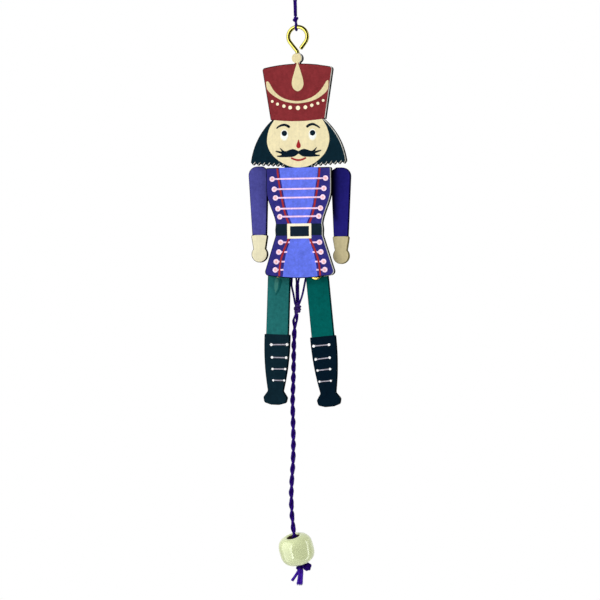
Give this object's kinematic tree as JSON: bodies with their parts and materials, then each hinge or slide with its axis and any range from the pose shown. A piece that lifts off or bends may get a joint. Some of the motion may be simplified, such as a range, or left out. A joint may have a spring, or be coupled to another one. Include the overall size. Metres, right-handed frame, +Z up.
{
  "type": "pull string jumping jack",
  "caption": "Flat plywood toy soldier on a hanging cord. Pulling the beaded cord below it swings both arms and both legs outward and up.",
  "frame": {"origin": "the top of the hanging loop, over the toy's middle and in the middle of the front plate's thickness", "axes": "+X to the viewer's right, +Y away from the viewer, from the front plate toward the strings, +Z up"},
  "size_m": [0.0523, 0.0199, 0.3017],
  "materials": {
    "painted_plywood": "thin plywood with painted decoration, a bare front edge and dark cut sides",
    "brass": "polished brass wire, washers and pins",
    "purple_cord": "twisted dark purple thread with a slight sheen",
    "lacquered_bead": "turned wooden bead under a glossy pale green lacquer"
  },
  "bodies": {
    "figure": {"front_plate": "painted_plywood", "pivot_washers": "brass", "pivot_pins": "brass", "screw_eye": "brass", "hanging_cord": "purple_cord", "hanging_knot": "purple_cord"},
    "left_arm": {"left_arm": "painted_plywood", "left_arm_knot": "purple_cord"},
    "right_arm": {"right_arm": "painted_plywood", "right_arm_knot": "purple_cord"},
    "left_leg": {"left_leg": "painted_plywood", "left_leg_knot": "purple_cord"},
    "right_leg": {"right_leg": "painted_plywood", "right_leg_knot": "purple_cord"},
    "pull": {"left_arm_string": "purple_cord", "right_arm_string": "purple_cord", "left_leg_string": "purple_cord", "right_leg_string": "purple_cord", "gather_knot": "purple_cord", "pull_cord": "purple_cord", "end_knot": "purple_cord", "cord_ends": "purple_cord"},
    "bead": {"bead": "lacquered_bead"}
  },
  "joints": [
    {"name": "pull", "type": "slide", "parent": "figure", "child": "pull", "axis": [0, 0, -1], "range_m": [0, 0.00739]},
    {"name": "left_shoulder", "type": "hinge", "parent": "figure", "child": "left_arm", "pos_m": [-0.01325, 0.0046, -0.0976], "axis": [0, 1, 0], "range_deg": [0, 90.12]},
    {"name": "right_shoulder", "type": "hinge", "parent": "figure", "child": "right_arm", "pos_m": [0.01175, 0.0046, -0.0989], "axis": [0, -1, 0], "range_deg": [0, 90.12]},
    {"name": "left_hip", "type": "hinge", "parent": "figure", "child": "left_leg", "pos_m": [-0.0117, 0.0046, -0.1434], "axis": [0, 1, 0], "range_deg": [0, 76.03]},
    {"name": "right_hip", "type": "hinge", "parent": "figure", "child": "right_leg", "pos_m": [0.0076, 0.0046, -0.1447], "axis": [0, -1, 0], "range_deg": [0, 76.03]},
    {"name": "bead_spin", "type": "hinge", "parent": "pull", "child": "bead", "pos_m": [-0.0054, 0.0087, -0.2835], "axis": [-0.1809, -0.3173, 0.9309], "continuous": true}
  ],
  "couplings": [
    {"joint": "left_shoulder", "follows": "pull", "rad_per_m": 212.8},
    {"joint": "right_shoulder", "follows": "pull", "rad_per_m": 212.8},
    {"joint": "left_hip", "follows": "pull", "rad_per_m": 179.5},
    {"joint": "right_hip", "follows": "pull", "rad_per_m": 179.5}
  ]
}
